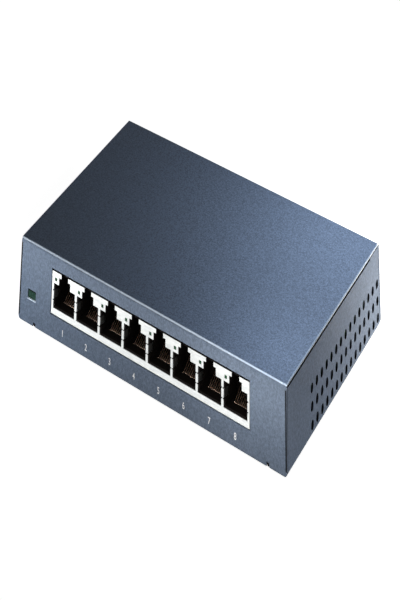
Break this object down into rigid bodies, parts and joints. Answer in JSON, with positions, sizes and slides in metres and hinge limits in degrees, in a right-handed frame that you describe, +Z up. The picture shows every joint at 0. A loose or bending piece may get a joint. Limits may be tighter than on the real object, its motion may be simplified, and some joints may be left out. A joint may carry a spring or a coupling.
{
  "type": "desktop network switch",
  "caption": "Desktop network switch in a folded slate-blue steel case, with a row of network sockets in front, vented sides and a power socket behind.",
  "frame": {"origin": "middle of the footprint, at the bottom of the feet", "axes": "+X to the right as seen from the sockets, +Y from the sockets to the rear, +Z up"},
  "size_m": [0.158, 0.101, 0.0265],
  "materials": {
    "case_paint": "fine-grained slate blue powder coat on folded sheet steel, slightly brighter on the folds",
    "foot_rubber": "matt black moulded rubber",
    "zinc_steel": "bright zinc-plated steel",
    "board_laminate": "green solder mask over glass-epoxy laminate",
    "shield_plate": "bright tin-plated stamped sheet",
    "socket_plastic": "black moulded plastic",
    "gold_contact": "gold-flashed spring bronze",
    "port_light_lens": "clear light pipe, tinted green",
    "power_light_lens": "dark green light pipe",
    "lamp_body": "white ceramic base with a clear epoxy dome",
    "nickel": "bright nickel plate",
    "tin_lead": "matt tin plate",
    "chip_epoxy": "black moulded epoxy",
    "thermal_rubber": "soft grey heat-conducting pad",
    "sink_aluminium": "extruded aluminium with saw-cut fins",
    "ferrite": "dark grey ferrite",
    "capacitor_sleeve": "shrunk dark plastic sleeve",
    "resistor_body": "black film on white ceramic, tinned ends",
    "capacitor_ceramic": "tan ceramic, tinned ends"
  },
  "bodies": {
    "case": {"top_cover": "case_paint", "base_tray": "case_paint", "rubber_feet": "foot_rubber", "cover_screws": "zinc_steel", "board_standoffs": "zinc_steel", "board_screws": "zinc_steel", "main_board": "board_laminate", "port_shield": "shield_plate", "port_housing": "socket_plastic", "port_contact_pins": "gold_contact", "port_light_pipes": "port_light_lens", "port_lights": "lamp_body", "power_light_pipe": "power_light_lens", "power_light": "lamp_body", "dc_jack_body": "socket_plastic", "dc_jack_pin": "nickel", "dc_jack_terminals": "tin_lead", "switch_chip": "chip_epoxy", "switch_chip_leads": "tin_lead", "thermal_pad": "thermal_rubber", "heat_sink": "sink_aluminium", "lan_transformers": "chip_epoxy", "lan_transformer_leads": "tin_lead", "crystal": "nickel", "memory_chip": "chip_epoxy", "regulator_chips": "chip_epoxy", "small_chip_leads": "tin_lead", "power_inductors": "ferrite", "input_diode": "chip_epoxy", "electrolytic_capacitors": "capacitor_sleeve", "chip_resistors": "resistor_body", "chip_capacitors": "capacitor_ceramic"},
    "port_1_wires": {"port_1_contacts": "gold_contact"},
    "port_2_wires": {"port_2_contacts": "gold_contact"},
    "port_3_wires": {"port_3_contacts": "gold_contact"},
    "port_4_wires": {"port_4_contacts": "gold_contact"},
    "port_5_wires": {"port_5_contacts": "gold_contact"},
    "port_6_wires": {"port_6_contacts": "gold_contact"},
    "port_7_wires": {"port_7_contacts": "gold_contact"},
    "port_8_wires": {"port_8_contacts": "gold_contact"},
    "jack_leaf": {"dc_jack_spring": "nickel"}
  },
  "joints": [
    {"name": "port_1_contact_flex", "type": "hinge", "parent": "case", "child": "port_1_wires", "pos_m": [-0.05092, -0.0449, 0.0104], "axis": [1, 0, 0], "range_deg": [-9, 0], "stiffness_Nm_per_rad": 0.2},
    {"name": "port_2_contact_flex", "type": "hinge", "parent": "case", "child": "port_2_wires", "pos_m": [-0.03637, -0.0449, 0.0104], "axis": [1, 0, 0], "range_deg": [-9, 0], "stiffness_Nm_per_rad": 0.2},
    {"name": "port_3_contact_flex", "type": "hinge", "parent": "case", "child": "port_3_wires", "pos_m": [-0.02183, -0.0449, 0.0104], "axis": [1, 0, 0], "range_deg": [-9, 0], "stiffness_Nm_per_rad": 0.2},
    {"name": "port_4_contact_flex", "type": "hinge", "parent": "case", "child": "port_4_wires", "pos_m": [-0.00728, -0.0449, 0.0104], "axis": [1, 0, 0], "range_deg": [-9, 0], "stiffness_Nm_per_rad": 0.2},
    {"name": "port_5_contact_flex", "type": "hinge", "parent": "case", "child": "port_5_wires", "pos_m": [0.00728, -0.0449, 0.0104], "axis": [1, 0, 0], "range_deg": [-9, 0], "stiffness_Nm_per_rad": 0.2},
    {"name": "port_6_contact_flex", "type": "hinge", "parent": "case", "child": "port_6_wires", "pos_m": [0.02183, -0.0449, 0.0104], "axis": [1, 0, 0], "range_deg": [-9, 0], "stiffness_Nm_per_rad": 0.2},
    {"name": "port_7_contact_flex", "type": "hinge", "parent": "case", "child": "port_7_wires", "pos_m": [0.03637, -0.0449, 0.0104], "axis": [1, 0, 0], "range_deg": [-9, 0], "stiffness_Nm_per_rad": 0.2},
    {"name": "port_8_contact_flex", "type": "hinge", "parent": "case", "child": "port_8_wires", "pos_m": [0.05092, -0.0449, 0.0104], "axis": [1, 0, 0], "range_deg": [-9, 0], "stiffness_Nm_per_rad": 0.2},
    {"name": "dc_jack_leaf_flex", "type": "hinge", "parent": "case", "child": "jack_leaf", "pos_m": [-0.05, 0.0402, 0.0103], "axis": [1, 0, 0], "range_deg": [-5, 0], "stiffness_Nm_per_rad": 0.3}
  ]
}
